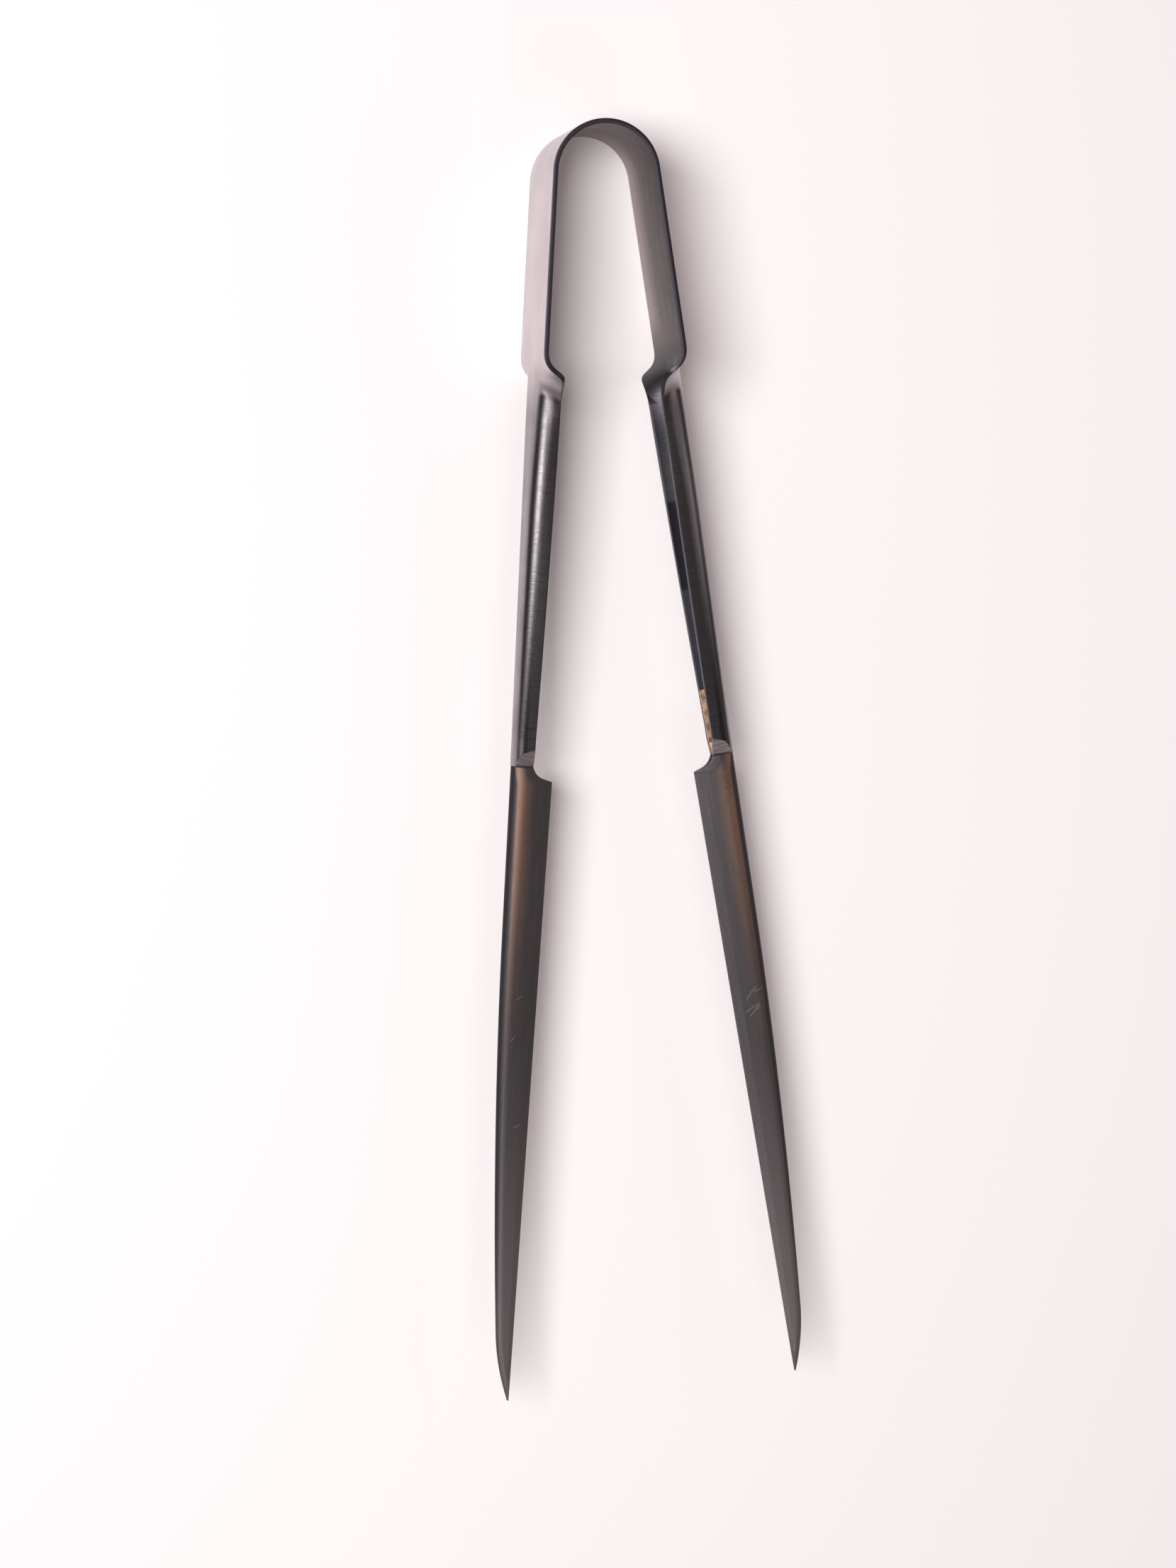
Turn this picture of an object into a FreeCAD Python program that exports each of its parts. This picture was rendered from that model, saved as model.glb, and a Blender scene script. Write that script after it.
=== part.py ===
import FreeCAD, Part
import math
import os

# Spring loaded kitchen tongs, in millimetres.
# X runs across the two arms, Y along the tongs with the bow at the +Y end, and Z across the width
# of the strip, which lies on its rear edge at z = 0. The origin is under the middle of the length.
# Each arm is drawn in its own directions: "along" from the end of the bow towards the tip, "out"
# away from the other arm, and "up" from the middle of the strip's width. The left arm is a mirror.

OVERALL_LENGTH = 305.0
STRIP_WIDTH = 29.0
SHEET = 1.2
BOW_RADIUS = 12.2          # middle of the sheet
HALF_ANGLE = 6.0           # degrees between each arm and the middle of the tongs
BOW_TAIL = 2.0             # straight end of the bow on each side
FLEX_GAP = 0.05            # between the bow and an arm, at the line where the strip flexes

# Stations along the arm
SHOULDER_START = 42.4
NOSE = 47.6
CHANNEL_START = 58.0
NECK_START = 134.0
BLADE_START = 140.0
BLADE_TIP = 294.4

# The rolled channel: half of its flat web and the middle radius of its two bends, at the start of
# the channel and at the neck
WEB_HALF = (3.5, 0.6)
BEND_RADIUS = (3.0, 2.1)
SHOULDER_BEND_RADIUS = 4.0

# The free edges of the flanges: how far they reach in, and how deep they lie from mid width
NOSE_REACH = 5.0
CHANNEL_REACH = 5.55
NECK_REACH = 4.6
NOSE_DROP = 0.28
CHANNEL_DEPTH = 6.4
NECK_DEPTH = 2.7
REACH_SETTLE = 2.5         # length over which the reach settles past the nose
DEPTH_SETTLE = 3.1         # and the depth
EDGE_SOFTENING = 1.15      # length over which the edge's corners are softened

# The neck is pressed down towards the blade by a sloping facet on each face
FACET_SLOPE = 0.39         # drop per length, about 21 degrees

# The blade: a strip folded over on itself, its fold outwards and its two edges inwards
FOLD_RADIUS_ROOT = 2.1
FOLD_RADIUS_TIP = 0.75
EDGE_HALF_ROOT = 1.25      # half thickness of the two leaves pressed together
EDGE_HALF_TIP = 0.65
GROUND_HALF = 0.45         # half thickness left at the ground edge
GROUND_WIDTH = 2.0
INNER_EDGE_ROOT = 9.6      # reach of the blade's inner edge at its root
INNER_EDGE_TIP = 6.95
LEAF_ROOT = 1.15           # thickness of one leaf
LEAF_TIP = 0.6
HOLLOW_END = 282.0         # the narrow hollow between the leaves stops before the tip
BACK_CURVE_START = 177.0   # the back is straight, then a long arc, then a short one at the tip
BACK_CURVE_RADIUS = 1450.0
TIP_CURVE_START = 278.0
TIP_CURVE_RADIUS = 55.0

# The notch between neck and blade, and the straight top of the blade
NOTCH_RADIUS = 4.0
NOTCH_TURNS = (15.0, 45.0, 75.0)
BLADE_CORNER = 143.5

# Brazing metal inside the neck, and washed up the rear flange
BRAZE_START = 137.0
WASH_START = 124.3
WASH_THICKNESS = 0.2
BRAZE_GAP = 0.045          # keeps the two surfaces from crossing

HALF_ANGLE_RAD = math.radians(HALF_ANGLE)
BOW_CENTRE_Y = OVERALL_LENGTH / 2 - BOW_RADIUS - SHEET / 2
MID_Z = STRIP_WIDTH / 2
FACET_SHEET = SHEET / math.cos(math.atan(FACET_SLOPE))    # the sheet's height under a facet
ARM_START_X = BOW_RADIUS * math.cos(HALF_ANGLE_RAD)
ARM_START_Y = BOW_CENTRE_Y + BOW_RADIUS * math.sin(HALF_ANGLE_RAD)
SHARES_PER_HALF = 10       # points across each half of the strip, from its middle to its edge


def place(along, out, up):
    """A point of the right arm in the tongs' own frame."""
    x = ARM_START_X + along * math.sin(HALF_ANGLE_RAD) + out * math.cos(HALF_ANGLE_RAD)
    y = ARM_START_Y - along * math.cos(HALF_ANGLE_RAD) + out * math.sin(HALF_ANGLE_RAD)
    return FreeCAD.Vector(x, y, MID_Z + up)


def mix(pair, share):
    return pair[0] + (pair[1] - pair[0]) * share


def ease(start, end, value):
    """0 before start, 1 after end, and smooth between."""
    share = min(1.0, max(0.0, (value - start) / (end - start)))
    return share * share * (3 - 2 * share)


def free_edge(along):
    """How far the strip's free edge reaches in, and its depth from mid width. It is straight in the
    handle, dips in a quarter round to the nose, and settles into the channel's gentle taper."""
    taper = min(1.0, max(0.0, (along - CHANNEL_START) / (NECK_START - CHANNEL_START)))
    into = min(1.0, max(0.0, (along - SHOULDER_START) / (NOSE - SHOULDER_START)))
    after = max(0.0, along - NOSE)
    dip = NOSE_REACH * (1 - math.sqrt(1 - 0.985 * into * into)) / (1 - math.sqrt(0.015))
    reach = dip + (CHANNEL_REACH - NOSE_REACH) * (1 - math.exp(-after / REACH_SETTLE))
    reach -= (CHANNEL_REACH - NECK_REACH) * (0.47 * taper + 0.53 * taper * taper)
    depth = CHANNEL_DEPTH - (CHANNEL_DEPTH - NECK_DEPTH) * (0.78 * taper + 0.22 * taper * taper)
    depth += (STRIP_WIDTH / 2 - CHANNEL_DEPTH - NOSE_DROP * into) * math.exp(-after / DEPTH_SETTLE)
    return reach, depth


def softened_edge(along):
    """The free edge with its corners at the shoulder softened, by a bell-weighted mean of the stations
    around."""
    spread = EDGE_SOFTENING * (1 - ease(NOSE + 4, CHANNEL_START, along))
    total = reach = depth = 0.0
    for i in range(-10, 11):
        weight = math.exp(-(0.2 * i) ** 2)
        near = free_edge(along + 0.2 * i * spread)
        total += weight
        reach += weight * near[0]
        depth += weight * near[1]
    return reach / total, depth / total


def fold_at(along):
    """Half web, bend radius, fold angle in radians and half developed width at a station, for a
    straight flange that ends at the free edge."""
    taper = min(1.0, max(0.0, (along - CHANNEL_START) / (NECK_START - CHANNEL_START)))
    web = mix(WEB_HALF, taper)
    radius = mix((SHOULDER_BEND_RADIUS, mix(BEND_RADIUS, taper)), ease(NOSE, CHANNEL_START, along))
    reach, depth = softened_edge(along)
    up, back = depth - web, reach - radius
    flange = math.sqrt(up * up + back * back - radius * radius)
    fold = max(0.0, math.atan2(back, up) + math.atan2(radius, flange))
    return web, radius, fold, web + radius * fold + flange


def sheet_middle(along, share):
    """Out and up of the middle of the sheet. share runs from -1, the rear edge, to 1, the front edge."""
    web, radius, fold, width = fold_at(along)
    distance = abs(share) * width
    side = math.copysign(1.0, share)
    if distance <= web:
        return 0.0, side * distance
    turn = min(fold, (distance - web) / radius)
    straight = distance - web - radius * turn
    out = -radius * (1 - math.cos(turn)) - straight * math.sin(turn)
    up = web + radius * math.sin(turn) + straight * math.cos(turn)
    return out, side * up


def sheet_point(along, share, offset):
    """A point at this distance outwards from the middle of the sheet, square to the sheet."""
    step = 0.02
    middle = FreeCAD.Vector(along, *sheet_middle(along, share))
    along_sheet = FreeCAD.Vector(1, 0, 0)
    if BOW_TAIL < along < NECK_START - step:
        before = FreeCAD.Vector(along - step, *sheet_middle(along - step, share))
        along_sheet = FreeCAD.Vector(along + step, *sheet_middle(along + step, share)) - before
    lower = sheet_middle(along, max(-1.0, share - step))
    upper = sheet_middle(along, min(1.0, share + step))
    across_sheet = FreeCAD.Vector(0, upper[0] - lower[0], upper[1] - lower[1])
    outwards = across_sheet.cross(along_sheet).normalize()
    return place(*(middle + outwards * offset))


def skin(stations, shares, offset):
    surface = Part.BSplineSurface()
    surface.interpolate([[sheet_point(along, share, offset) for share in shares] for along in stations])
    return surface


def sheet_piece(outer, inner):
    """A piece of sheet: an outer and an inner skin joined by ruled faces round their edges."""
    first_along, last_along, first_across, last_across = outer.bounds()
    faces = [outer.toShape(), inner.toShape()]
    for u in (first_along, last_along):
        faces.append(Part.makeRuledSurface(outer.uIso(u).toShape(), inner.uIso(u).toShape()))
    for v in (first_across, last_across):
        faces.append(Part.makeRuledSurface(outer.vIso(v).toShape(), inner.vIso(v).toShape()))
    shell = Part.makeShell(faces)
    shell.sewShape()
    solid = Part.makeSolid(shell)
    if solid.Volume < 0:
        solid.reverse()
    return solid


def steps(start, end, count):
    """count even steps from start to end, without start itself."""
    return [start + (end - start) * i / count for i in range(1, count + 1)]


def across(start, end):
    count = round(SHARES_PER_HALF * abs(end - start))
    return [start] + steps(start, end, count)


def outline(along, points):
    """A closed wire across the arm. Points are (out, up), and a point inside a tuple bends an arc
    through it."""
    edges = []
    corners = [place(along, *p[-1]) if isinstance(p[0], tuple) else place(along, *p) for p in points]
    for i, point in enumerate(points):
        start = corners[i - 1]
        if isinstance(point[0], tuple):
            edges.append(Part.Arc(start, place(along, *point[0]), corners[i]).toShape())
        else:
            edges.append(Part.makeLine(start, corners[i]))
    return Part.Wire(edges)


def arm_skins():
    """The outer and the inner skin of one arm, from the bow to the start of the neck."""
    flat_end = SHOULDER_START - 2 * EDGE_SOFTENING
    stations = [BOW_TAIL] + steps(BOW_TAIL, flat_end, 8)
    stations += steps(flat_end, NOSE + 2, 20)
    stations += steps(NOSE + 2, CHANNEL_START, 8)
    stations += steps(CHANNEL_START, NECK_START, 8)
    return [skin(stations, across(-1, 1), offset) for offset in (SHEET / 2, -SHEET / 2)]


def neck_section(arm_skin, beyond):
    """The section of one skin at the neck, closed across its mouth, this far past its free edges."""
    end = arm_skin.uIso(arm_skin.bounds()[1])
    rear = end.value(end.FirstParameter)
    front = end.value(end.LastParameter)
    if beyond == 0:
        return Part.Wire([end.toShape(), Part.makeLine(front, rear)])
    inwards = (place(0, -1, 0) - place(0, 0, 0)) * beyond
    corners = [front, front + inwards, rear + inwards, rear]
    return Part.Wire([end.toShape()] + [Part.makeLine(*pair) for pair in zip(corners, corners[1:])])


def bent_section(offset, reach):
    """The neck's section drawn with plain arcs, grown outwards by offset and closed across its mouth."""
    web = WEB_HALF[1]
    radius = BEND_RADIUS[1] + offset
    centre = -BEND_RADIUS[1]
    diagonal = radius * math.sqrt(0.5)
    return outline(NECK_START, [
        (-reach, web + radius),
        (centre, web + radius),
        ((centre + diagonal, web + diagonal), (offset, web)),
        (offset, -web),
        ((centre + diagonal, -web - diagonal), (centre, -web - radius)),
        (-reach, -web - radius),
    ])


def face_height(out, along):
    """Half thickness of the blade's flat face at its root, rising up the facet towards the channel."""
    fold_side = SHEET / 2 - FOLD_RADIUS_ROOT
    edge_side = GROUND_WIDTH - INNER_EDGE_ROOT
    share = (out - edge_side) / (fold_side - edge_side)
    root = mix((EDGE_HALF_ROOT, FOLD_RADIUS_ROOT), share)
    return root + (BLADE_START - along) * FACET_SLOPE


def between_facets(shape, inset):
    """What is left of a shape between the two sloping facets, moved inwards by inset."""
    for side in (1, -1):
        corners = []
        for along, out in ((NECK_START, -9), (BLADE_START, -9), (BLADE_START, 2), (NECK_START, 2)):
            corners.append(place(along, out, side * (face_height(out, along) - inset)))
        top = Part.Face(Part.makePolygon(corners + corners[:1]))
        shape = shape.cut(top.extrude(FreeCAD.Vector(0, 0, 9 * side)))
    return shape


def extruded(section, end):
    """A section at the start of the neck, carried on to this station."""
    return Part.Face(section).extrude(place(end, 0, 0) - place(NECK_START, 0, 0))


def blade_back(along):
    """How far out the back of the blade stands."""
    long_arc = max(0.0, along - BACK_CURVE_START) ** 2 / (2 * BACK_CURVE_RADIUS)
    tip_arc = max(0.0, along - TIP_CURVE_START) ** 2 / (2 * TIP_CURVE_RADIUS)
    return SHEET / 2 - long_arc - tip_arc


def blade_section(along):
    """Outside and hollow of the folded blade at a station, as two closed wires."""
    share = (along - BLADE_START) / (BLADE_TIP - BLADE_START)
    back = blade_back(along)
    edge = -mix((INNER_EDGE_ROOT, INNER_EDGE_TIP), share)
    radius = min(mix((FOLD_RADIUS_ROOT, FOLD_RADIUS_TIP), share), 0.42 * (back - edge))
    half = min(mix((EDGE_HALF_ROOT, EDGE_HALF_TIP), share), radius)
    leaf = mix((LEAF_ROOT, LEAF_TIP), share)
    ground = min(GROUND_WIDTH, 0.25 * (back - edge))
    ground_half = min(GROUND_HALF, 0.8 * half)
    centre = back - radius
    outside = outline(along, [
        (edge, ground_half),
        (edge + ground, half),
        (centre, radius),
        ((back, 0), (centre, -radius)),
        (edge + ground, -half),
        (edge, -ground_half),
    ])
    hollow = outline(along, [
        (edge - 1, half - leaf),
        (centre, radius - leaf),
        ((back - leaf, 0), (centre, leaf - radius)),
        (edge - 1, leaf - half),
    ])
    return outside, hollow


def blade():
    stations = [BLADE_START, BACK_CURVE_START]
    stations += steps(BACK_CURVE_START, TIP_CURVE_START, 6) + steps(TIP_CURVE_START, BLADE_TIP, 6)
    outside = Part.makeLoft([blade_section(along)[0] for along in stations], True, True)
    stations[0] -= 1
    within = [blade_section(along)[1] for along in stations if along < HOLLOW_END]
    hollow = Part.makeLoft(within, True, True)
    return outside.cut(hollow).cut(notch())


def notch():
    """The cut-out between the blade's straight top and the neck: an arc, then a straight line."""
    reach = NECK_REACH
    points = []
    first = math.radians(NOTCH_TURNS[0])
    for turn in NOTCH_TURNS:
        angle = math.radians(turn)
        out = -reach - NOTCH_RADIUS * (math.cos(first) - math.cos(angle))
        points.append(place(BLADE_START + NOTCH_RADIUS * (math.sin(angle) - math.sin(first)), out, 0))
    corner = place(BLADE_CORNER, -INNER_EDGE_ROOT, 0)
    beyond = corner + (corner - points[2])
    clear = place(BLADE_START - 1, -INNER_EDGE_ROOT - 4, 0)
    above = place(BLADE_START - 1, -reach, 0)
    edges = [Part.Arc(*points).toShape()]
    path = [points[2], beyond, clear, above, points[0]]
    for start, end in zip(path, path[1:]):
        edges.append(Part.makeLine(start, end))
    face = Part.Face(Part.Wire(edges))
    face.translate(FreeCAD.Vector(0, 0, -MID_Z))
    return face.extrude(FreeCAD.Vector(0, 0, STRIP_WIDTH))


def arm(outer, inner):
    """The flat side, shoulder, channel and neck of one arm, in one piece of sheet."""
    outside = between_facets(extruded(neck_section(outer, 0), BLADE_START), 0)
    inside = between_facets(extruded(neck_section(inner, 1), BLADE_START), FACET_SHEET)
    return sheet_piece(outer, inner).fuse(outside.cut(inside))


def braze():
    """Brazing metal that fills the bottom of the neck and runs a little way up the rear flange."""
    low = -SHEET / 2 - BRAZE_GAP
    hollow = between_facets(extruded(bent_section(low, NECK_REACH + 1), BLADE_START), FACET_SHEET)
    above = extruded(bent_section(SHEET / 2, NECK_REACH + 3), BRAZE_START)
    raised = hollow.copy()
    raised.translate(FreeCAD.Vector(0, 0, WASH_THICKNESS))
    beyond = Part.makeBox(20, 20, STRIP_WIDTH)
    beyond.Placement = FreeCAD.Placement(
        place(BLADE_START + 5, 0.2 - NECK_REACH, -MID_Z),
        FreeCAD.Rotation(FreeCAD.Vector(0, 0, 1), 90 + HALF_ANGLE),
    )
    filler = hollow.cut(above).fuse(hollow.cut(raised)).cut(beyond)
    stations = [WASH_START] + steps(WASH_START, NECK_START, 3)
    shares = across(-0.98, -0.68)
    wash = sheet_piece(skin(stations, shares, low), skin(stations, shares, low - WASH_THICKNESS))
    return filler.fuse(wash)


def bow():
    """The round spring bow, with a short straight tail on each side."""
    tail = BOW_TAIL - FLEX_GAP
    edges = []
    for offset in (SHEET / 2, -SHEET / 2):
        radius = BOW_RADIUS + offset
        top = FreeCAD.Vector(0, BOW_CENTRE_Y + radius, MID_Z)
        side = place(0, offset, 0)
        left_side = FreeCAD.Vector(-side.x, side.y, side.z)
        end = place(tail, offset, 0)
        left_end = FreeCAD.Vector(-end.x, end.y, end.z)
        edges.append(Part.makeLine(left_end, left_side))
        edges.append(Part.Arc(left_side, top, side).toShape())
        edges.append(Part.makeLine(side, end))
    for side in (1, -1):
        ends = [place(tail, offset, 0) for offset in (SHEET / 2, -SHEET / 2)]
        edges.append(Part.makeLine(*[FreeCAD.Vector(side * p.x, p.y, p.z) for p in ends]))
    face = Part.Face(Part.Wire(Part.__sortEdges__(edges)))
    face.translate(FreeCAD.Vector(0, 0, -MID_Z))
    return face.extrude(FreeCAD.Vector(0, 0, STRIP_WIDTH))


def write(name, shape):
    os.makedirs("parts", exist_ok=True)
    if len(shape.Solids) == 1:
        shape = shape.Solids[0]
    box = shape.BoundBox
    print(f"{name}: valid {shape.isValid()}, {len(shape.Solids)} solid, {shape.Volume:.1f} mm3, "
          f"x {box.XMin:.2f} to {box.XMax:.2f}, y {box.YMin:.2f} to {box.YMax:.2f}, "
          f"z {box.ZMin:.2f} to {box.ZMax:.2f}")
    shape.exportStep(f"parts/{name}.step")


write("spring_bow", bow())
for name, shape in (("arm", arm(*arm_skins())), ("blade", blade()), ("braze", braze())):
    write("right_" + name, shape)
    write("left_" + name, shape.mirror(FreeCAD.Vector(0, 0, 0), FreeCAD.Vector(1, 0, 0)))
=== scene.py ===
import math

import bpy
import numpy as np
from mathutils import Euler, Matrix, Vector


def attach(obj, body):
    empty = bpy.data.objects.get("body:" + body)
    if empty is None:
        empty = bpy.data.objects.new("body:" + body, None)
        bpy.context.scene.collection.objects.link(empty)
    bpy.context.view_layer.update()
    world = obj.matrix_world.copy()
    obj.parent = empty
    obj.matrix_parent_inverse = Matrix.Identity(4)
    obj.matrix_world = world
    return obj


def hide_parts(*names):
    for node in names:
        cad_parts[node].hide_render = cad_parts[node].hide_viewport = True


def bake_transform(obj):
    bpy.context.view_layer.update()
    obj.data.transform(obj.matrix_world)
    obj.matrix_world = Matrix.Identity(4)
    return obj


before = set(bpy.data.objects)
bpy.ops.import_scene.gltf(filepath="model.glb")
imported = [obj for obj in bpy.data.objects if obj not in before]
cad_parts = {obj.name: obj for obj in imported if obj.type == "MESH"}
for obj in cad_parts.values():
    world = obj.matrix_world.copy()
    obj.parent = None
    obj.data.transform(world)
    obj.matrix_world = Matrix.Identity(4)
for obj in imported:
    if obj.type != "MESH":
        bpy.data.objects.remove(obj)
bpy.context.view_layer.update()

# ---------------------------------------------------------------------------
# Sizes of the tongs, in millimetres, the same as in the part's source.
# "along" runs from the end of the bow towards the tip, "out" away from the
# other arm, and "up" from the middle of the strip's width. A pair holds the
# sizes at the two ends of the channel, or of the blade, the bow's end first.
# ---------------------------------------------------------------------------
OVERALL_LENGTH = 305.0
STRIP_WIDTH = 29.0
SHEET = 1.2
BOW_RADIUS = 12.2
TILT = math.radians(6.0)
SHOULDER, NOSE, CHANNEL, NECK, BLADE, TIP = 42.4, 47.6, 58.0, 134.0, 140.0, 294.4
MID_Z = STRIP_WIDTH / 2
BOW_CENTRE_Y = OVERALL_LENGTH / 2 - BOW_RADIUS - SHEET / 2

# The rolled channel, and the path of its free edges
WEB_HALF = (3.5, 0.6)
BEND_RADIUS = (3.0, 2.1)
SHOULDER_BEND_RADIUS = 4.0
FLANGE_CROWN = math.radians(12)
NOSE_REACH = 5.0
NOSE_ROUND = 0.985         # how nearly the dip to the nose is a full quarter round
NOSE_DROP = 0.28
REACH_GAIN = 0.55          # further reach past the nose
REACH_SETTLE = 2.5         # length over which the reach settles past the nose
REACH_TAPER = (0.45, 0.5)  # reach lost by the neck, in proportion to the length and to its square
CHANNEL_DEPTH = 6.4
DEPTH_SETTLE = 3.1
DEPTH_TAPER = (2.9, 0.8)
EDGE_SOFTENING = 1.15      # length over which the edge's corners are softened

# The blade, its notch and the facets above it
INNER_EDGE = (9.6, 6.95)
FOLD_RADIUS = (2.1, 0.75)
FOLD_LENGTH = 1.7          # length of the elliptical fold, as a multiple of its radius
EDGE_HALF = (1.25, 0.65)   # half thickness behind the ground edge
LEAF = (1.15, 0.6)
CROWN = 1.3                # how strongly a blade's faces are crowned: 1 is flat
GROUND_WIDTH = 2.0
GROUND_DEPTH = 0.55
BACK_CURVE, BACK_RADIUS = 177.0, 1450.0
TIP_CURVE, TIP_RADIUS = 278.0, 55.0
HOLLOW_END = 284.0
NECK_REACH = 4.6
NOTCH_RADIUS = 4.0
NOTCH_TURNS = (15, 75)
BLADE_CORNER = 143.5
GROUND_LINE = GROUND_WIDTH - INNER_EDGE[0]
FOLD_LINE = SHEET / 2 - FOLD_RADIUS[0]
FACET_HALF = (1.3, 2.1)    # half thickness of the neck's end at the ground line and at the fold line
FACET_SLOPE = 0.39

# Rounded corners, drawn in the looks only
EDGE_ROUND = 0.14
END_ROUND = 0.3
SHARP_ANGLE = math.radians(38)

FACE_POINTS = 79           # points across each skin of the strip
THIN = 0.06                # smallest half width of the hollow between a blade's leaves


def mix(a, b, share):
    return a + (b - a) * share


def smooth(a, b, x):
    """0 below a, 1 above b, and 3t^2 - 2t^3 between."""
    t = np.clip((x - a) / (b - a), 0, 1)
    return t * t * (3 - 2 * t)


def centre_line(along):
    """The middle of the strip's width: for along below 0 a circle of the bow's radius, measured back
    from the arm, and for along above 0 a straight line at the arm's tilt. Returns x, y and the
    outward direction's x, y."""
    angle = TILT + np.maximum(0, -along) / BOW_RADIUS
    run = np.maximum(0, along)
    nx, ny = np.cos(angle), np.sin(angle)
    x = BOW_RADIUS * nx + run * math.sin(TILT)
    y = BOW_CENTRE_Y + BOW_RADIUS * ny - run * math.cos(TILT)
    return x, y, nx, ny


def edge_path(along):
    """Where the strip's free edge runs, as reach inwards and depth from mid width: straight in the
    handle, a quarter-round dip to the nose, then an exponential fall into the channel's taper."""
    taper = np.clip((along - CHANNEL) / (NECK - CHANNEL), 0, 1)
    into = np.clip((along - SHOULDER) / (NOSE - SHOULDER), 0, 1)
    after = np.maximum(0, along - NOSE)
    dip = NOSE_REACH * (1 - np.sqrt(1 - NOSE_ROUND * into ** 2)) / (1 - math.sqrt(1 - NOSE_ROUND))
    reach = dip + REACH_GAIN * (1 - np.exp(-after / REACH_SETTLE))
    reach = reach - REACH_TAPER[0] * taper - REACH_TAPER[1] * taper ** 2
    side = CHANNEL_DEPTH - DEPTH_TAPER[0] * taper - DEPTH_TAPER[1] * taper ** 2
    depth = side + (MID_Z - CHANNEL_DEPTH - NOSE_DROP * into) * np.exp(-after / DEPTH_SETTLE)
    return np.stack([reach, depth])


def fold_state(along):
    """The strip's section at each station: half of its flat web, the radius and angle of its bend, the
    further slow turn of its crowned flange and that flange's length, all solved from the free edge's
    path, which is first softened by a bell-weighted mean over a short length."""
    taper = np.clip((along - CHANNEL) / (NECK - CHANNEL), 0, 1)
    offsets = np.linspace(-2 * EDGE_SOFTENING, 2 * EDGE_SOFTENING, 21)
    weights = np.exp(-(offsets / EDGE_SOFTENING) ** 2)
    shares = weights / weights.sum()
    reach, depth = sum(w * edge_path(along + d) for w, d in zip(shares, offsets))
    web = mix(*WEB_HALF, taper)
    rolled = smooth(NOSE, CHANNEL, along)
    radius = mix(SHOULDER_BEND_RADIUS, mix(*BEND_RADIUS, taper), rolled)
    crown = FLANGE_CROWN * rolled * (1 - taper)
    sine, cosine = np.sin(crown / 2), np.cos(crown / 2)
    a, b = depth - web, reach - radius
    chord = radius * sine + np.sqrt(a * a + b * b - (radius * cosine) ** 2)
    fold = np.arctan2(b, a) - np.arctan2(chord * sine - radius, chord * cosine)
    fold = np.maximum(fold, 1e-5)
    flange = chord * (1 + crown * crown / 24)
    return web, radius, fold, crown, flange


def facet_height(out, along):
    """Half thickness under the sloping facet: a plane, thicker towards the fold and the channel."""
    share = (out - GROUND_LINE) / (FOLD_LINE - GROUND_LINE)
    return mix(*FACET_HALF, share) + (BLADE - along) * FACET_SLOPE


def corner_steps(radius, count):
    """Distances in from a rounded corner's two faces at even angles round a quarter circle."""
    angle = np.linspace(0, math.pi / 2, count)
    return radius * (1 - np.sin(angle)), radius * (1 - np.cos(angle))


def there_and_back(first, second):
    """Rings that run over the first grid's columns and return over the second's."""
    return np.concatenate([first, second[:, ::-1]], axis=1)


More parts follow.
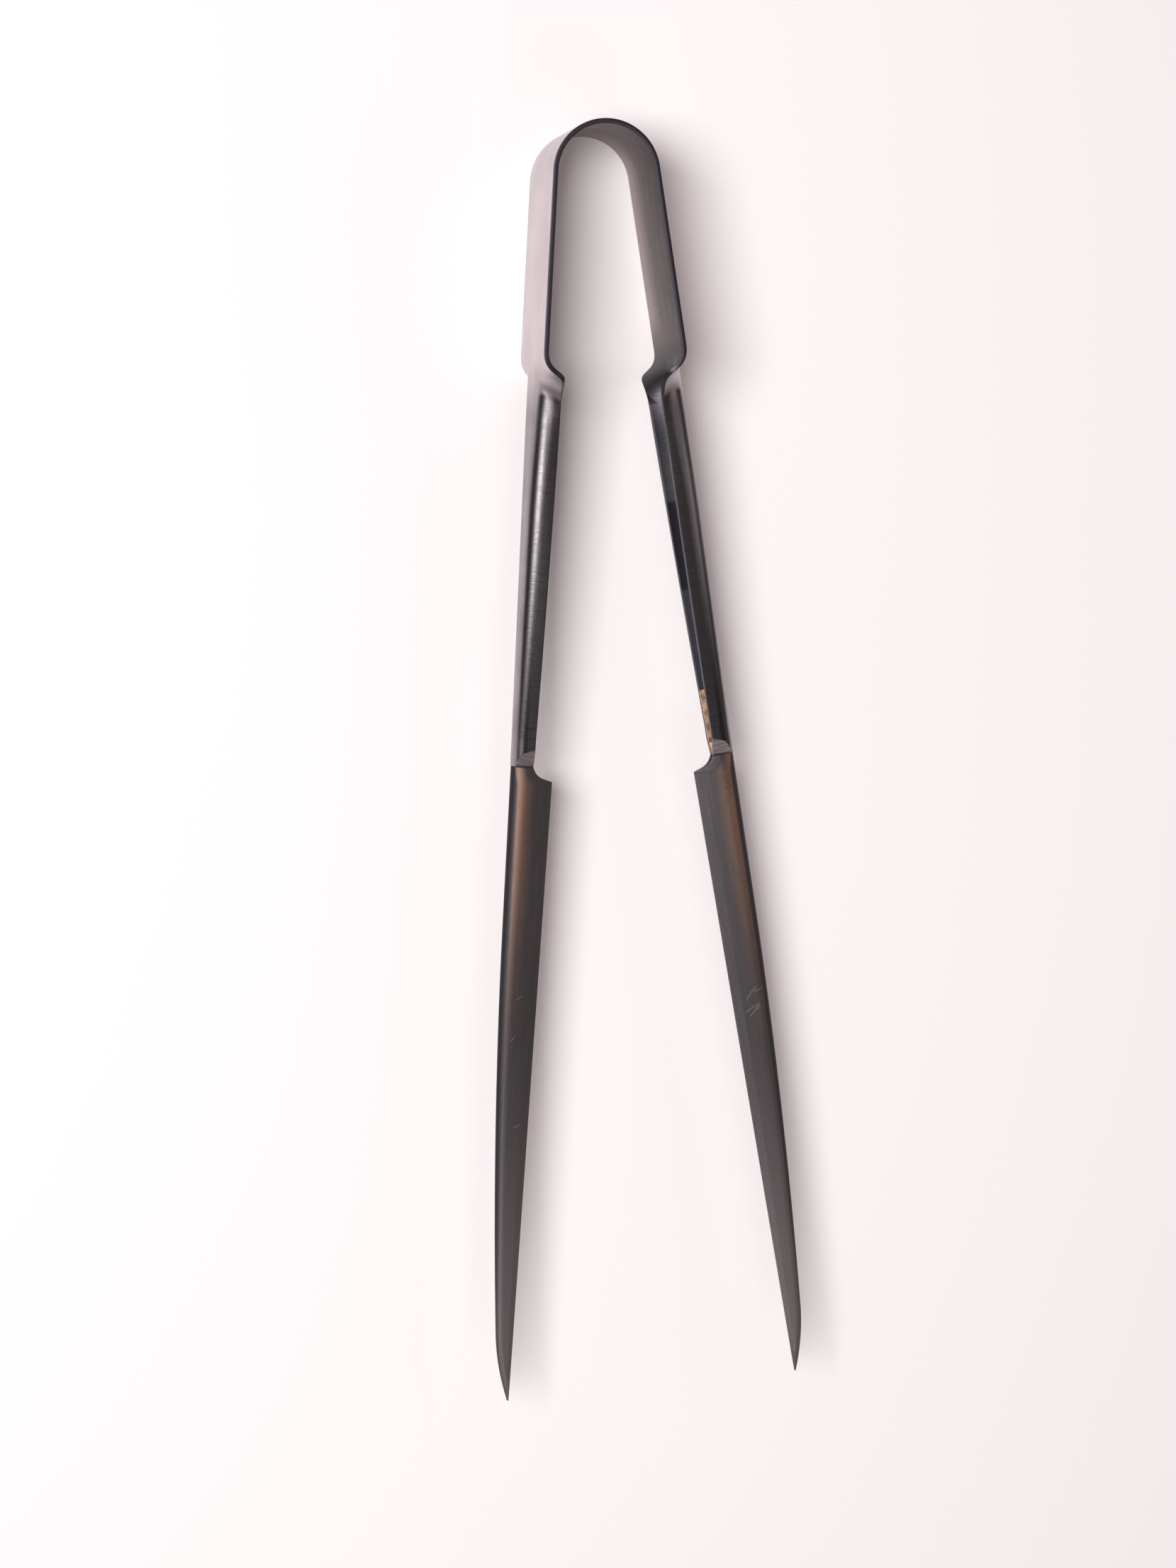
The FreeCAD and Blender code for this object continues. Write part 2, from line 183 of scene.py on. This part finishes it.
def strip_grid():
    """The whole strip of one side. Stations run from the top of the bow to the neck, and the ring runs
    over the outer skin from the rear edge to the front edge and back over the inner skin. A point of
    the middle sheet lies on a flat web, then on an arc of the bend radius, then on the flatter arc of
    a crowned flange. A skin is the middle moved half a sheet along the normal, the cross product of
    the grid's two tangents, and is pressed flat where it would stand above a facet. The four long
    corners and the neck's end are quarter rounds."""
    end_in, end_less = corner_steps(END_ROUND, 5)
    along = np.concatenate([
        np.linspace(-BOW_RADIUS * (math.pi / 2 - TILT), 0, 60)[:-1],
        np.linspace(0, SHOULDER - 1, 42)[:-1],
        np.linspace(SHOULDER - 1, CHANNEL + 2, 88)[:-1],
        np.linspace(CHANNEL + 2, NECK, 75)[:-1],
        np.linspace(NECK, BLADE - END_ROUND, 42)[:-1],
        BLADE - end_in])
    end_round = np.concatenate([np.zeros(len(along) - 5), end_less])[:, None]
    rim_in, rim_less = corner_steps(EDGE_ROUND, 4)
    web, radius, fold, crown, flange = (v[:, None] for v in fold_state(along))
    width = web + radius * fold + flange
    inside = (np.linspace(-1, 1, FACE_POINTS) * (width - EDGE_ROUND))[:, 1:-1]
    rear_rim, front_rim = -(width - rim_in[None, ::-1]), width - rim_in[None, :]
    distance = np.concatenate([rear_rim, inside, front_rim], axis=1)
    half = SHEET / 2 - np.concatenate([rim_less[::-1], np.zeros(FACE_POINTS - 2), rim_less])[None, :]
    side = np.sign(distance)
    past = np.maximum(0, np.abs(distance) - web)
    turn = np.minimum(fold, past / radius)
    beyond = past - radius * turn
    bend = crown / flange + 1e-6
    out = -radius * (1 - np.cos(turn)) - (np.cos(turn) - np.cos(turn + bend * beyond)) / bend
    up = side * (np.minimum(np.abs(distance), web) + radius * np.sin(turn)
                 + (np.sin(turn + bend * beyond) - np.sin(turn)) / bend)
    x, y, nx, ny = (v[:, None] for v in centre_line(along))
    middle = np.stack([x + out * nx, y + out * ny, up], axis=-1)
    tangent_across = np.gradient(middle, axis=1)
    tangent_along = np.gradient(middle, axis=0)
    normal = np.cross(tangent_along, tangent_across)
    normal /= np.linalg.norm(normal, axis=-1, keepdims=True)
    centre = distance.shape[1] // 2
    outward = (normal[:, centre:centre + 1, :2] * np.stack([nx, ny], axis=-1)).sum(-1)
    normal *= np.sign(outward)[..., None]
    skins, facets = [], []
    for face, under in ((1, 0.0), (-1, SHEET * 1.07)):
        point = middle + normal * (face * (half - end_round))[..., None]
        out_here = (point[..., 0] - x) * nx + (point[..., 1] - y) * ny
        limit = facet_height(out_here, along[:, None]) - under - face * end_round
        limit = np.where(along[:, None] < NECK, STRIP_WIDTH, limit)
        pressed = (np.abs(point[..., 2]) > limit) & (face > 0)
        point[..., 2] = np.clip(point[..., 2], -limit, limit)
        skins.append(point)
        facets.append(pressed.astype(float))
    edge_gap = width - np.abs(distance)
    points = there_and_back(*skins)
    values = {
        "along": np.repeat(along[:, None], points.shape[1], axis=1),
        "across": there_and_back(distance / width, distance / width),
        "outer": there_and_back(np.ones_like(distance), np.zeros_like(distance)),
        "rim": there_and_back(edge_gap, edge_gap),
        "facet": there_and_back(*facets),
    }
    return points, values


def blade_back(along):
    """How far out the blade's back stands: straight, then a long arc, then a short arc at the tip."""
    long_arc = np.maximum(0, along - BACK_CURVE) ** 2 / (2 * BACK_RADIUS)
    short_arc = np.maximum(0, along - TIP_CURVE) ** 2 / (2 * TIP_RADIUS)
    return SHEET / 2 - long_arc - short_arc


def crowned_share(share):
    """How far a crowned face has risen at a share of its width: 1 less a power of what is left."""
    return 1 - (1 - share) ** CROWN


def blade_grid():
    """One blade: a leaf of sheet folded over, drawn as rings. Each ring starts at the inner edge and
    runs over the front leaf, round the elliptical fold and back over the rear leaf, then returns
    through the narrow hollow between the leaves. A ring joins a point of the inner edge, which follows
    the notch's arc, its straight side and then the ground edge, to a point of the back."""
    end_in, end_less = (steps[::-1][[0, 2, 4]] for steps in corner_steps(END_ROUND, 5))
    bend = np.radians(np.linspace(*NOTCH_TURNS, 15))
    arc_s = BLADE + NOTCH_RADIUS * (np.sin(bend) - np.sin(bend[0]))
    arc_o = -NECK_REACH - NOTCH_RADIUS * (np.cos(bend[0]) - np.cos(bend))
    slope = np.linspace(0, 1, 9)[1:]
    side_s, side_o = mix(arc_s[-1], BLADE_CORNER, slope), mix(arc_o[-1], -INNER_EDGE[0], slope)
    past_corner = np.array([0.06, 0.15, 0.3, 0.5])
    body = np.concatenate([
        BLADE_CORNER + past_corner,
        np.linspace(BLADE_CORNER + 0.8, TIP_CURVE, 134)[:-1],
        TIP_CURVE + (TIP - TIP_CURVE) * np.sin(np.linspace(0, math.pi / 2, 40))])
    edge_s = np.concatenate([arc_s, side_s, body])
    edge_o = np.concatenate([arc_o, side_o, -mix(*INNER_EDGE, (body - BLADE) / (TIP - BLADE))])

    # The rings fan out from the notch: their ends on the back are spread along it
    first = len(arc_s) + len(side_s)
    fanned, settled = first + 4, first + 12
    back_s = edge_s.copy()
    back_s[:fanned] = BLADE + np.linspace(0, 1, fanned) ** 1.3 * (body[3] - BLADE + 2.0)
    back_s[fanned:settled] = np.linspace(back_s[fanned - 1], body[12], 10)[1:-1]
    back_s[:3] = BLADE + end_in
    less = np.zeros(len(edge_s))
    less[:3] = end_less
    back_o = np.maximum(blade_back(back_s), edge_o + 0.35)

    # The section of each ring
    share = np.clip((back_s - BLADE) / (TIP - BLADE), 0, 1)
    span = back_o - edge_o
    radius = np.minimum(mix(*FOLD_RADIUS, share), 0.42 * span)
    fold = FOLD_LENGTH * radius
    edge_half = np.minimum(mix(*EDGE_HALF, share), radius)
    root = np.arange(len(edge_s)) < first
    reached = np.clip((edge_o - GROUND_LINE) / (back_o - fold - GROUND_LINE), 0, 0.9)
    reached = np.where(root, reached, 0)
    edge_half = mix(edge_half, radius, crowned_share(reached))
    leaf = np.minimum(mix(*LEAF, share), 0.85 * radius)
    root_ground = np.clip(GROUND_LINE - edge_o, 0.15, GROUND_WIDTH)
    ground = np.where(root, root_ground, np.minimum(GROUND_WIDTH, 0.25 * span))
    ground_depth = np.minimum(GROUND_DEPTH, 0.35 * edge_half / 0.6)
    ground_depth = ground_depth * np.where(root, np.maximum(0.16, ground / GROUND_WIDTH), 1)
    ground_half = np.maximum(edge_half - ground_depth, 0.2 * edge_half)

    # The outer skin: a ground bevel, a crowned face, the fold, and the same on the rear leaf
    columns = [span, radius, fold, edge_half, leaf, ground, ground_half, less, reached]
    columns = [value[:, None] for value in columns]
    span, radius, fold, edge_half, leaf, ground, ground_half, less, reached = columns
    bevel = np.linspace(0, 1, 6)
    face = np.linspace(0, 1, 22)[1:-1]
    turn = np.linspace(0, math.pi, 33)
    crowned = 1 - ((1 - mix(reached, 1, face)) / (1 - reached)) ** CROWN
    flat = span - fold
    front_u = np.concatenate([ground * bevel, ground + (flat - ground) * face], axis=1)
    bevel_t, face_t = mix(ground_half, edge_half, bevel), mix(edge_half, radius, crowned)
    front_t = np.concatenate([bevel_t, face_t], axis=1)
    outer_u = np.concatenate([front_u, flat + fold * np.sin(turn), front_u[:, ::-1]], axis=1)
    outer_t = np.concatenate([front_t, radius * np.cos(turn), -front_t[:, ::-1]], axis=1)
    outer_t = outer_t * (1 - less / radius)

    # The hollow, which narrows to nothing before the tip
    hollow = np.clip((HOLLOW_END - edge_s) / 12, 0.015, 1)[:, None]
    gap_edge = np.minimum(np.maximum(edge_half - leaf, THIN), 0.7 * ground_half)
    gap_fold = np.maximum(radius - leaf, THIN)
    fold_u = flat + (fold - leaf) * np.sin(turn)
    inner_u = np.concatenate([front_u, fold_u, front_u[:, ::-1]], axis=1) * hollow
    inner_front = mix(gap_edge, gap_fold, crowned_share(np.clip(front_u / flat, 0, 1)))
    inner_t = np.concatenate([inner_front, gap_fold * np.cos(turn), -inner_front[:, ::-1]], axis=1)
    inner_t = inner_t * mix(0.25, 1.0, hollow)

    u, t = there_and_back(outer_u, inner_u), there_and_back(outer_t, inner_t)
    part = u / span
    along = mix(edge_s[:, None], back_s[:, None], part)
    out = mix(edge_o[:, None], back_o[:, None], part)
    x, y, nx, ny = centre_line(along)
    points = np.stack([x + out * nx, y + out * ny, t], axis=-1)
    skin = there_and_back(np.ones_like(outer_u), np.zeros_like(inner_u))
    return points, {"along": along, "across": part, "outer": skin}


def build(name, points, values, mirrored):
    """Makes the mesh of a grid of rings: rows are stations and each row is a closed ring. The ring's
    first half lies on the outer skin and its second half, read backwards, on the inner one, so each
    end is closed by quads between the two halves. The left side is the same grid with x negated.
    Faces are turned over where the sum of their corners' signed volumes comes out negative."""
    rows, ring = points.shape[:2]
    place = points.reshape(-1, 3).copy()
    place[:, 2] += MID_Z
    if mirrored:
        place[:, 0] *= -1
    index = np.arange(rows * ring).reshape(rows, ring)
    beside = np.roll(index, -1, axis=1)
    quads = np.stack([index[:-1], beside[:-1], beside[1:], index[1:]], axis=-1).reshape(-1, 4)
    half = ring // 2
    count = np.arange(half - 1)
    ends = []
    for row, turned in ((index[0], False), (index[-1], True)):
        opposite = ring - 1 - count
        corners = [row[count], row[opposite], row[opposite - 1], row[count + 1]]
        cap = np.stack(corners, axis=-1)
        ends.append(cap[:, ::-1] if turned else cap)
    faces = np.concatenate([quads] + ends)
    first, second, third, fourth = place[faces].transpose(1, 0, 2)
    volume = (first * (np.cross(second, third) + np.cross(third, fourth))).sum()
    if volume < 0:
        faces = faces[:, ::-1]
    mesh = bpy.data.meshes.new(name)
    mesh.vertices.add(len(place))
    mesh.vertices.foreach_set("co", (place * 0.001).ravel())
    mesh.loops.add(faces.size)
    mesh.loops.foreach_set("vertex_index", faces.ravel())
    mesh.polygons.add(len(faces))
    mesh.polygons.foreach_set("loop_start", np.arange(0, faces.size, 4))
    mesh.polygons.foreach_set("loop_total", np.full(len(faces), 4))
    mesh.update(calc_edges=True)
    mesh.polygons.foreach_set("use_smooth", np.ones(len(faces), bool))
    mesh.set_sharp_from_angle(angle=SHARP_ANGLE)
    for label, value in values.items():
        layer = mesh.attributes.new(label, "FLOAT", "POINT")
        layer.data.foreach_set("value", value.ravel().astype(np.float32))
    obj = bpy.data.objects.new(name, mesh)
    bpy.context.scene.collection.objects.link(obj)
    return obj


# ---------------------------------------------------------------------------
# Materials
# ---------------------------------------------------------------------------
class Field:
    """A number or colour that varies over a surface. Arithmetic on it adds Math nodes."""

    def __init__(self, tree, socket):
        self.tree = tree
        self.socket = socket

    def math(self, operation, *others):
        inputs = dict(enumerate((self,) + others))
        return node(self.tree, "ShaderNodeMath", {"operation": operation}, inputs)

    def __add__(self, other):
        return self.math("ADD", other)

    def __sub__(self, other):
        return self.math("SUBTRACT", other)

    def __mul__(self, other):
        return self.math("MULTIPLY", other)

    def __rsub__(self, other):
        return node(self.tree, "ShaderNodeMath", {"operation": "SUBTRACT"}, {0: other, 1: self})

    __radd__ = __add__
    __rmul__ = __mul__

    def between(self, low, high, start=0.0, end=1.0):
        """Moves smoothly from start to end as this goes from low to high, and stays there."""
        settings = {"interpolation_type": "SMOOTHSTEP"}
        inputs = {0: self, 1: low, 2: high, 3: start, 4: end}
        return node(self.tree, "ShaderNodeMapRange", settings, inputs)


def node(tree, kind, settings, inputs, output=0):
    """Adds any node: its settings first, then its sockets' values or links. Returns one output."""
    made = tree.nodes.new(kind)
    for key, value in settings.items():
        setattr(made, key, value)
    for key, value in inputs.items():
        socket = made.inputs[key]
        if isinstance(value, Field):
            tree.links.new(value.socket, socket)
        else:
            socket.default_value = value
    return Field(tree, made.outputs[output])


def new_material(name):
    material = bpy.data.materials.new(name)
    material.use_nodes = True
    tree = material.node_tree
    shader = tree.nodes["Principled BSDF"]
    return material, tree, shader


def connect(tree, shader, **fields):
    for key, field in fields.items():
        tree.links.new(field.socket, shader.inputs[key.replace("_", " ")])


def attribute(tree, name):
    return node(tree, "ShaderNodeAttribute", {"attribute_name": name}, {}, "Fac")


def tinted(tree, factor, low, high):
    """A colour between two, by factor."""
    return node(tree, "ShaderNodeMix", {"data_type": "RGBA"},
                {"Factor": factor, "A": low, "B": high}, "Result")


def noise(tree, vector, scale, detail=3.0, roughness=0.5):
    inputs = {"Vector": vector, "Scale": scale, "Detail": detail, "Roughness": roughness}
    return node(tree, "ShaderNodeTexNoise", {}, inputs, "Fac")


def bumped(tree, height, strength, distance):
    """A surface normal tipped by the slope of height, whose full size is distance in metres."""
    inputs = {"Height": height, "Strength": strength, "Distance": distance}
    return node(tree, "ShaderNodeBump", {}, inputs)


def combine(tree, x, y, z):
    return node(tree, "ShaderNodeCombineXYZ", {}, {0: x, 1: y, 2: z})


STROKE_EDGE, STROKE_CORE = 0.00011, 0.00003    # half widths of a scratch, faint and full


def scratches(tree, position, count, low, high, length, seed):
    """Fine stray scratches: count short straight strokes between the corners low and high, each a thin
    line in x and y whose strength fades towards its ends, in metres. Returns 0 to 1."""
    pick = np.random.default_rng(seed)
    across = node(tree, "ShaderNodeSeparateXYZ", {}, {0: position}, 0)
    down = node(tree, "ShaderNodeSeparateXYZ", {}, {0: position}, 1)
    total = None
    for _ in range(count):
        x, y = (float(pick.uniform(a, b)) for a, b in zip(low, high))
        angle = float(pick.uniform(0.25, 1.0))
        reach = length * float(pick.uniform(0.5, 1.0))
        c, s = math.cos(angle), math.sin(angle)
        run = ((across - x) * c + (down - y) * s).math("ABSOLUTE")
        off = ((down - y) * c - (across - x) * s).math("ABSOLUTE")
        stroke = run.between(reach, reach * 0.3) * off.between(STROKE_EDGE, STROKE_CORE)
        total = stroke if total is None else total.math("MAXIMUM", stroke)
    return total


STRAW_GOLD = (1.0, 0.66, 0.42, 1)
STRAW_BROWN = (0.42, 0.24, 0.14, 1)


def steel_strip():
    """Satin rolled strip. The handle is clean outside and duller inside, with a fine lengthwise grain.
    Past the shoulder the flanges are dark with fine cross scratches, and blue-black inside. Outside,
    the flanges carry a painted highlight band beside the bend that fades towards the neck, a painted
    dark reflected line beside it, and painted shade at the nose. Inside, the handle is painted paler
    towards its rear as painted light, and the rear flange carries a painted dark reflection and
    painted shade at the shoulder. The cut edges are blue-black, the pressed facets are bare, and the
    rear flange is tinted straw at the neck."""
    material, tree, shader = new_material("tinted steel strip")
    along = attribute(tree, "along")
    across = attribute(tree, "across")
    outer = attribute(tree, "outer")
    rim = attribute(tree, "rim")
    facet = attribute(tree, "facet")
    position = node(tree, "ShaderNodeTexCoord", {}, {}, "Object")
    aside = across.math("ABSOLUTE")
    grain = noise(tree, combine(tree, along * 0.05, across * 14, outer), 6.0, 4.0, 0.6)
    streak = noise(tree, combine(tree, along * 0.02, across * 5, outer), 4.0, 3.0, 0.6)
    cross = noise(tree, combine(tree, along * 1.5, across * 1.2, outer), 1.6, 4.0, 0.65)
    cloud = noise(tree, position, 70.0, 3.0, 0.5).between(0.3, 0.7)

    # The outside: a clean handle and web, then dark flanges below an arched line at the shoulder, with
    # painted shade at the nose and, on the flanges, a painted highlight band and a painted dark
    # reflected line beside the bend
    arch = (aside - 0.62) * (aside - 0.62) * 9.0
    rolled = along.between(44.5, 58.0)
    highlight_fade = along.between(70.0, 134.0)
    moved = aside + along.between(50.0, 82.0) * 0.12 + highlight_fade * 0.05
    flange = (along - arch).between(50.8, 52.2) * moved.between(0.48, 0.60)
    clean = tinted(tree, cloud, (0.62, 0.555, 0.565, 1), (0.53, 0.475, 0.49, 1))
    web = tinted(tree, cloud, (0.34, 0.305, 0.32, 1), (0.25, 0.225, 0.24, 1))
    base = tinted(tree, rolled, clean, web)
    # Painted highlight and painted reflection: next to the bend a narrow darker line stands for a
    # reflected dark, then a bright band stands for the key light's highlight and fades towards the
    # neck, and towards the free edge the flange is plain dark
    dark = tinted(tree, highlight_fade, (0.17, 0.157, 0.165, 1), (0.026, 0.023, 0.026, 1))
    dark = tinted(tree, moved.between(0.74, 0.62), dark, (0.04, 0.036, 0.041, 1))
    dark = tinted(tree, moved.between(0.77, 0.90), dark, (0.056, 0.051, 0.055, 1))
    # Painted shade: the rounded start of the channel at the nose is darkened
    hood_shade = along.between(45.0, 49.5) * aside.between(0.45, 0.85)
    base = tinted(tree, hood_shade * 0.45, base, (0.12, 0.11, 0.115, 1))
    base = tinted(tree, flange, base, dark)

    # The inside: a dull handle with painted light towards the rear, and blue-black flanges with a
    # painted dark reflection and painted shade at the shoulder
    within = tinted(tree, streak.between(0.35, 0.7), (0.21, 0.172, 0.172, 1), (0.125, 0.105, 0.105, 1))
    # Painted light: the inside of the handle is made paler towards its rear edge, where light bounced
    # off the floor falls
    behind = across.between(0.0, -0.9) * along.between(40.0, 33.0)
    within = tinted(tree, behind, within, (0.36, 0.295, 0.30, 1))
    within = tinted(tree, along.between(38.0, 44.0), within, (0.085, 0.078, 0.08, 1))
    inner_flange = along.between(48.0, 54.0)
    further = along.between(76.0, 80.0)
    flanged = tinted(tree, further, (0.078, 0.072, 0.082, 1), (0.05, 0.047, 0.056, 1))
    within = tinted(tree, inner_flange, within, flanged)
    bluish = noise(tree, position, 160.0, 2.0, 0.5).between(0.45, 0.65) * inner_flange
    within = tinted(tree, bluish * 0.4, within, (0.045, 0.052, 0.085, 1))
    # Painted reflection and painted shade: a dark band on the rear flange's inner face stands for the
    # reflected dark of the web and the opposite flange, and a dark triangle at the shoulder stands for
    # the shade in the steep inner corner where the flange begins
    dark_reflection = along.between(78.0, 78.8) * along.between(100.2, 99.4) * across.between(-0.62, -0.66)
    crease_shade = (along - (across + 1) * 11.8).between(51.9, 52.3) * along.between(54.8, 54.2)
    within = tinted(tree, dark_reflection.math("MAXIMUM", crease_shade) * 0.8, within, (0.012, 0.011, 0.016, 1))

    # Straw colour from the brazing, with brown scribbled marks
    straw = along.between(124.2, 124.7) * across.between(-0.35, -0.5)
    scribble = noise(tree, combine(tree, along * 0.9, across * 26, 0.0), 1.3, 3.0, 0.7)
    gold = tinted(tree, scribble.between(0.44, 0.56), STRAW_GOLD, STRAW_BROWN)
    gold = tinted(tree, along.between(127.0, 137.0) * 0.7, gold, (0.66, 0.46, 0.40, 1))
    within = tinted(tree, straw, within, gold)

    # The two skins together, the cut edges and the pressed facets
    base = tinted(tree, outer, within, base)
    base = tinted(tree, rim.between(0.16, 0.06), base, (0.062, 0.057, 0.068, 1))
    bare = tinted(tree, cross.between(0.35, 0.65), (0.36, 0.32, 0.31, 1), (0.25, 0.22, 0.215, 1))
    base = tinted(tree, facet, base, bare)
    rough = 0.38 + (1 - outer) * 0.10 + facet * 0.12 - flange * 0.06
    rough = rough + (grain - 0.5) * 0.16 + (cross - 0.5) * 0.34 * flange
    metal = 1 - rolled * (1 - facet) * 0.35
    bump = bumped(tree, grain * 0.4 + cross * flange * 0.9, 0.3, 0.00016)
    shader.inputs["Specular IOR Level"].default_value = 0.25
    connect(tree, shader, Base_Color=base, Metallic=metal, Roughness=rough, Normal=bump)
    return material


def steel_blade():
    """Dark satin blade steel: a soft bronze heat band beside the root's fold, fading to grey at the
    tip, with a fine grain along its length, fine specks and a few light scratches."""
    material, tree, shader = new_material("dark blade steel")
    along = attribute(tree, "along")
    across = attribute(tree, "across")
    outer = attribute(tree, "outer")
    position = node(tree, "ShaderNodeTexCoord", {}, {}, "Object")
    grain = noise(tree, combine(tree, along * 0.06, across * 10, outer), 6.0, 4.0, 0.6)
    streak = noise(tree, combine(tree, along * 0.02, across * 3, outer), 4.0, 3.0, 0.6)
    cloud = noise(tree, position, 60.0, 3.0, 0.5)
    speck = noise(tree, position, 1500.0, 2.0, 0.6)
    greyer = along.between(200.0, 290.0)
    base = tinted(tree, greyer, (0.062, 0.056, 0.059, 1), (0.155, 0.136, 0.139, 1))
    base = tinted(tree, streak.between(0.4, 0.7) * 0.2, base, (0.13, 0.105, 0.095, 1))
    band = across.between(0.34, 0.76) * across.between(0.90, 0.80)
    mottled = (cloud * 0.6 + speck * 0.4).between(0.3, 0.6, 0.5, 1.0)
    bronze = band * along.between(225.0, 142.0) * mottled
    base = tinted(tree, bronze * 0.9, base, (0.21, 0.125, 0.088, 1))
    folded = across.between(0.80, 0.90) * along.between(290.0, 240.0, 0.3, 0.8)
    base = tinted(tree, folded, base, (0.028, 0.025, 0.029, 1))
    marks = scratches(tree, position, 7, (0.0265, -0.0665), (0.0308, -0.0560), 0.0022, 4)
    stray = scratches(tree, position, 6, (-0.036, -0.110), (-0.028, -0.020), 0.0016, 11)
    marks = marks.math("MAXIMUM", stray)
    base = tinted(tree, marks * 0.5, base, (0.36, 0.33, 0.32, 1))
    rough = 0.48 + (grain - 0.5) * 0.14 + (cloud - 0.5) * 0.1 + (speck - 0.5) * 0.2 + marks * 0.1
    bump = bumped(tree, grain + speck * 0.6 - marks * 0.5, 0.2, 0.00006)
    shader.inputs["Metallic"].default_value = 0.55
    shader.inputs["Specular IOR Level"].default_value = 0.25
    connect(tree, shader, Base_Color=base, Roughness=rough, Normal=bump)
    return material


def braze_metal():
    """Brazing metal: straw gold, blotched with brown, and rough."""
    material, tree, shader = new_material("brazing metal")
    position = node(tree, "ShaderNodeTexCoord", {}, {}, "Object")
    blotch = noise(tree, position, 420.0, 4.0, 0.6)
    base = tinted(tree, blotch.between(0.38, 0.62), STRAW_GOLD, STRAW_BROWN)
    bump = bumped(tree, blotch, 0.4, 0.0002)
    shader.inputs["Metallic"].default_value = 1.0
    connect(tree, shader, Base_Color=base, Roughness=0.34 + blotch * 0.25, Normal=bump)
    return material


def studio_floor():
    """Pale, plain, matt."""
    material, tree, shader = new_material("studio floor")
    position = node(tree, "ShaderNodeTexCoord", {}, {}, "Object")
    tone = noise(tree, position, 3.0, 2.0, 0.5)
    base = tinted(tree, tone, (0.90, 0.885, 0.885, 1), (0.93, 0.915, 0.915, 1))
    shader.inputs["Roughness"].default_value = 0.8
    shader.inputs["Emission Color"].default_value = (1, 0.80, 0.80, 1)
    shader.inputs["Emission Strength"].default_value = 0.07
    connect(tree, shader, Base_Color=base)
    return material


strip_steel = steel_strip()
blade_steel = steel_blade()
braze = braze_metal()

# ---------------------------------------------------------------------------
# The tongs
# ---------------------------------------------------------------------------
strip_points, strip_values = strip_grid()
blade_points, blade_values = blade_grid()
for side, mirrored in (("left", True), ("right", False)):
    strip = build(side + "_strip", strip_points, strip_values, mirrored)
    strip.data.materials.append(strip_steel)
    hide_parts(side + "_arm", "spring_bow")
    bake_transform(strip)
    blade = build(side + "_blade_leaf", blade_points, blade_values, mirrored)
    blade.data.materials.append(blade_steel)
    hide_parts(side + "_blade")
    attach(blade, side + "_side")
    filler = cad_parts[side + "_braze"]
    filler.data.materials.clear()
    filler.data.materials.append(braze)

# ---------------------------------------------------------------------------
# Floor, light and camera
# ---------------------------------------------------------------------------
floor_mesh = bpy.data.meshes.new("floor")
reach = 3
corners = [(-reach, -reach, 0), (reach, -reach, 0), (reach, reach, 0), (-reach, reach, 0)]
floor_mesh.from_pydata(corners, [], [(0, 1, 2, 3)])
floor = bpy.data.objects.new("floor", floor_mesh)
bpy.context.scene.collection.objects.link(floor)
floor.data.materials.append(studio_floor())


def soft_light(name, place, target, size, power, colour=(1, 1, 1)):
    """A rectangular soft light at place, turned to face target."""
    data = bpy.data.lights.new(name, "AREA")
    data.shape = "RECTANGLE"
    data.size, data.size_y = size
    data.energy = power
    data.color = colour
    light = bpy.data.objects.new(name, data)
    light.location = place
    light.rotation_euler = (Vector(target) - Vector(place)).to_track_quat("-Z", "Y").to_euler()
    bpy.context.scene.collection.objects.link(light)
    return light


soft_light("key light", (-0.66, 0.2, 1.22), (0, 0, 0), (0.55, 0.8), 19, (1, 0.985, 0.99))
soft_light("front light", (0.15, -0.9, 1.1), (0, 0, 0), (0.5, 0.4), 1.4)
soft_light("right light", (0.95, 0.05, 0.55), (0, 0, 0), (0.7, 0.5), 1.1, (1, 0.88, 0.87))
world = bpy.data.worlds.new("studio")
world.use_nodes = True
world.node_tree.nodes["Background"].inputs["Color"].default_value = (1, 0.77, 0.78, 1)
world.node_tree.nodes["Background"].inputs["Strength"].default_value = 0.15
bpy.context.scene.world = world
bpy.context.scene.view_settings.view_transform = "Standard"

# The frame in front of the lens: a point measured from the tips' end is turned, in radians, and then
# shifted, in metres
VIEW_TURN = (0.0928090, 0.2023697, 0.0679698)
VIEW_SHIFT = (0.0128491, -0.1461792, -0.8334295)
LENS = 76.763
turn = Euler(VIEW_TURN, "XYZ").to_matrix()
shift = Vector(VIEW_SHIFT) + turn @ Vector((0, OVERALL_LENGTH / 2000, 0))
lens = bpy.data.cameras.new("camera")
lens.sensor_fit = "VERTICAL"
lens.sensor_height = 36
lens.lens = LENS
camera = bpy.data.objects.new("camera", lens)
camera.matrix_world = (Matrix.Translation(shift) @ turn.to_4x4()).inverted()
bpy.context.scene.collection.objects.link(camera)
bpy.context.scene.camera = camera
